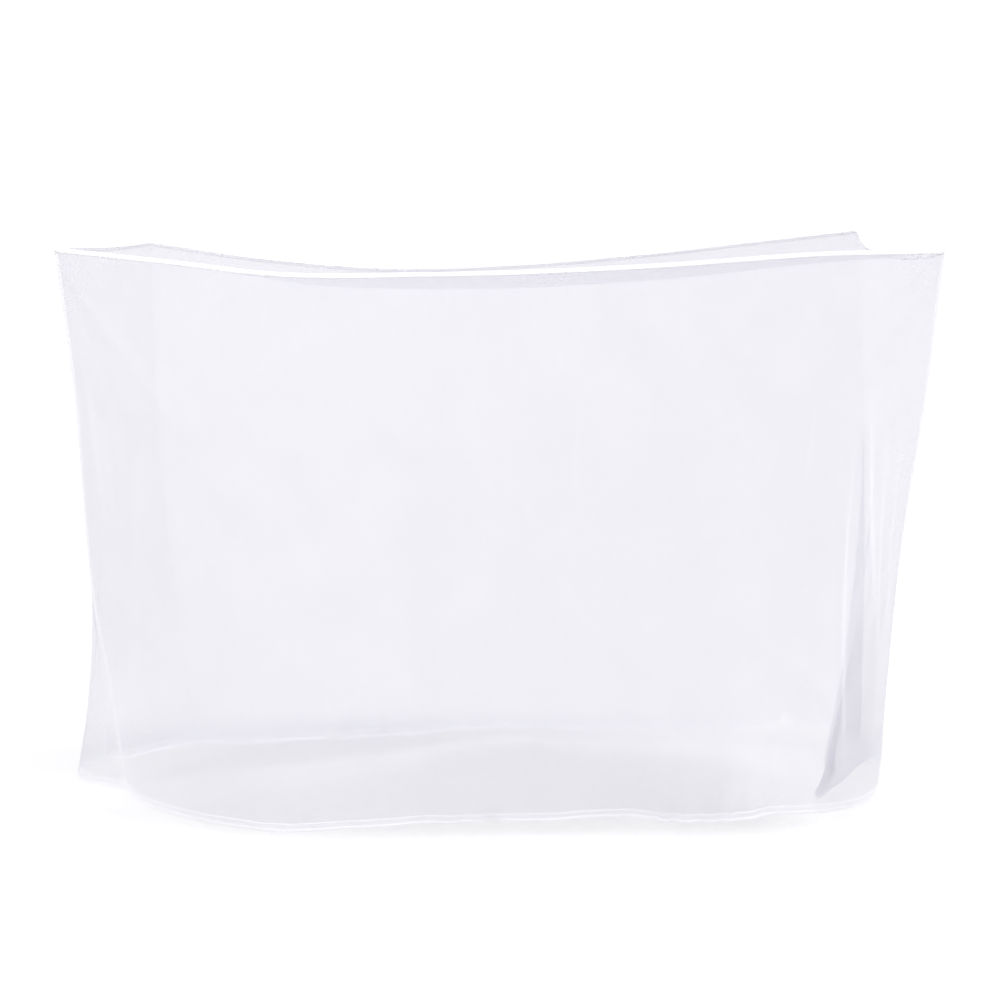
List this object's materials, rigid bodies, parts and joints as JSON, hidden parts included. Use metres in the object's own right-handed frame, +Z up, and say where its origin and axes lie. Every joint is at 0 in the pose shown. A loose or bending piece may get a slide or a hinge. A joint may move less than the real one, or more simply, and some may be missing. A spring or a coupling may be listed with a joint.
{
  "type": "box mosquito net canopy",
  "caption": "Sheer rectangular bed net hung by its top corners, with a sagging roof panel, straight walls drawn in below, bound top seams and a turned hem.",
  "frame": {"origin": "the middle of the four top corners by which the net hangs, at their height", "axes": "+X along the long side to the right in the picture, +Y away from the viewer along the short side, +Z up"},
  "size_m": [2.3597, 0.9335, 1.625],
  "materials": {
    "roof_net": "sheer knitted net, white with a faint cool tint",
    "front_net": "sheer knitted net, white with a faint cool tint",
    "back_net": "sheer knitted net, white with a faint cool tint",
    "left_net": "sheer knitted net, white with a faint cool tint",
    "right_net": "sheer knitted net, white with a faint cool tint",
    "front_tape": "white woven tape",
    "back_tape": "white woven tape",
    "left_tape": "white woven tape",
    "right_tape": "white woven tape"
  },
  "bodies": {
    "root": {"roof_panel": "roof_net", "front_wall": "front_net", "back_wall": "back_net", "left_wall": "left_net", "right_wall": "right_net", "front_binding": "front_tape", "back_binding": "back_tape", "left_binding": "left_tape", "right_binding": "right_tape"}
  },
  "joints": []
}
